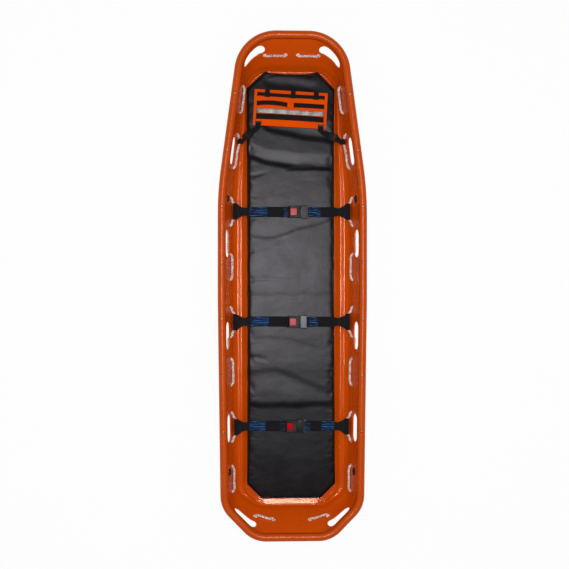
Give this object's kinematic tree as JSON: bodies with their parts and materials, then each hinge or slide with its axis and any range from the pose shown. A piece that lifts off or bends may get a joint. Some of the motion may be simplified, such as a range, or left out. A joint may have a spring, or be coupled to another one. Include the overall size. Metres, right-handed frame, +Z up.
{
  "type": "basket stretcher",
  "caption": "Long shallow plastic rescue basket with a rolled rim, hand slots, woven perimeter rope, mattress, buckled restraint straps and a tilting footboard.",
  "frame": {"origin": "on the ground under the middle of the basket", "axes": "+Y towards the foot end, along the basket; +Z up; +X to the right-hand side seen from above with the foot end at the top"},
  "size_m": [0.638, 2.18, 0.1923],
  "materials": {
    "orange_shell": "moulded, smooth, slightly scuffed",
    "orange_board": "smooth moulded sheet",
    "aluminium": "plain drawn tube and rivets",
    "dark_steel": "darkened steel eyelets",
    "rope_white": "braided rope",
    "black_vinyl": "creased coated fabric over foam",
    "black_webbing": "woven webbing with blue edge lines",
    "black_plastic": "moulded",
    "red_button": "moulded",
    "bright_steel": "plated steel",
    "reflective": "silver reflective tape"
  },
  "bodies": {
    "basket": {"chest_strap_buckle": "black_plastic", "chest_strap_spring": "bright_steel", "chest_strap_webbing_left": "black_webbing", "chest_strap_webbing_right": "black_webbing", "footboard_clip_left_female": "black_plastic", "footboard_clip_right_female": "black_plastic", "footboard_strap_left_inner": "black_webbing", "footboard_strap_left_outer": "black_webbing", "footboard_strap_right_inner": "black_webbing", "footboard_strap_right_outer": "black_webbing", "frame_tube_left": "aluminium", "frame_tube_right": "aluminium", "hip_strap_buckle": "black_plastic", "hip_strap_spring": "bright_steel", "hip_strap_webbing_left": "black_webbing", "hip_strap_webbing_right": "black_webbing", "leg_strap_buckle": "black_plastic", "leg_strap_spring": "bright_steel", "leg_strap_webbing_left": "black_webbing", "leg_strap_webbing_right": "black_webbing", "lifting_grommet_foot_left": "dark_steel", "lifting_grommet_foot_right": "dark_steel", "lifting_grommet_head_left": "dark_steel", "lifting_grommet_head_right": "dark_steel", "mattress": "black_vinyl", "perimeter_rope": "rope_white", "rim_rivet_left_1": "aluminium", "rim_rivet_left_2": "aluminium", "rim_rivet_left_3": "aluminium", "rim_rivet_left_4": "aluminium", "rim_rivet_left_5": "aluminium", "rim_rivet_left_6": "aluminium", "rim_rivet_left_7": "aluminium", "rim_rivet_right_1": "aluminium", "rim_rivet_right_2": "aluminium", "rim_rivet_right_3": "aluminium", "rim_rivet_right_4": "aluminium", "rim_rivet_right_5": "aluminium", "rim_rivet_right_6": "aluminium", "rim_rivet_right_7": "aluminium", "shell": "orange_shell", "tube_spigot_foot": "aluminium", "tube_spigot_head": "aluminium"},
    "footboard": {"footboard_band_lower": "black_webbing", "footboard_band_middle_left": "black_webbing", "footboard_band_middle_right": "black_webbing", "footboard_band_upper": "black_webbing", "footboard_loop_left": "black_webbing", "footboard_loop_middle": "black_webbing", "footboard_loop_right": "black_webbing", "footboard_plate": "orange_board", "footboard_reflective_strip": "reflective"},
    "leg_strap_button": {"leg_strap_button": "red_button"},
    "leg_strap_tongue": {"leg_strap_tongue": "bright_steel"},
    "hip_strap_button": {"hip_strap_button": "red_button"},
    "hip_strap_tongue": {"hip_strap_tongue": "bright_steel"},
    "chest_strap_button": {"chest_strap_button": "red_button"},
    "chest_strap_tongue": {"chest_strap_tongue": "bright_steel"},
    "footboard_clip_left_male": {"footboard_clip_left_male": "black_plastic"},
    "footboard_clip_right_male": {"footboard_clip_right_male": "black_plastic"}
  },
  "joints": [
    {"name": "leg_strap_button_press", "type": "slide", "parent": "basket", "child": "leg_strap_button", "axis": [0, 0, -1], "range_m": [0, 0.003], "stiffness_N_per_m": 1500, "springref_m": -0.001, "deforming": ["leg_strap_spring"]},
    {"name": "hip_strap_button_press", "type": "slide", "parent": "basket", "child": "hip_strap_button", "axis": [0, 0, -1], "range_m": [0, 0.003], "stiffness_N_per_m": 1500, "springref_m": -0.001, "deforming": ["hip_strap_spring"]},
    {"name": "chest_strap_button_press", "type": "slide", "parent": "basket", "child": "chest_strap_button", "axis": [0, 0, -1], "range_m": [0, 0.003], "stiffness_N_per_m": 1500, "springref_m": -0.001, "deforming": ["chest_strap_spring"]},
    {"name": "leg_strap_tongue_pull", "type": "slide", "parent": "basket", "child": "leg_strap_tongue", "axis": [1, 0, 0], "range_m": [0, 0.03], "deforming": ["leg_strap_webbing_right"]},
    {"name": "hip_strap_tongue_pull", "type": "slide", "parent": "basket", "child": "hip_strap_tongue", "axis": [1, 0, 0], "range_m": [0, 0.03], "deforming": ["hip_strap_webbing_right"]},
    {"name": "chest_strap_tongue_pull", "type": "slide", "parent": "basket", "child": "chest_strap_tongue", "axis": [1, 0, 0], "range_m": [0, 0.03], "deforming": ["chest_strap_webbing_right"]},
    {"name": "footboard_tilt", "type": "hinge", "parent": "basket", "child": "footboard", "pos_m": [-0.009, 0.7, 0.06703], "axis": [0.9986, -0.0523, 0], "range_deg": [0, 90], "deforming": ["footboard_strap_left_inner", "footboard_strap_right_inner"]},
    {"name": "footboard_clip_left_release", "type": "slide", "parent": "basket", "child": "footboard_clip_left_male", "axis": [0.7752, 0.6099, -0.1643], "range_m": [0, 0.015], "deforming": ["footboard_strap_left_inner"]},
    {"name": "footboard_clip_right_release", "type": "slide", "parent": "basket", "child": "footboard_clip_right_male", "axis": [-0.8933, 0.4231, -0.1519], "range_m": [0, 0.015], "deforming": ["footboard_strap_right_inner"]}
  ]
}
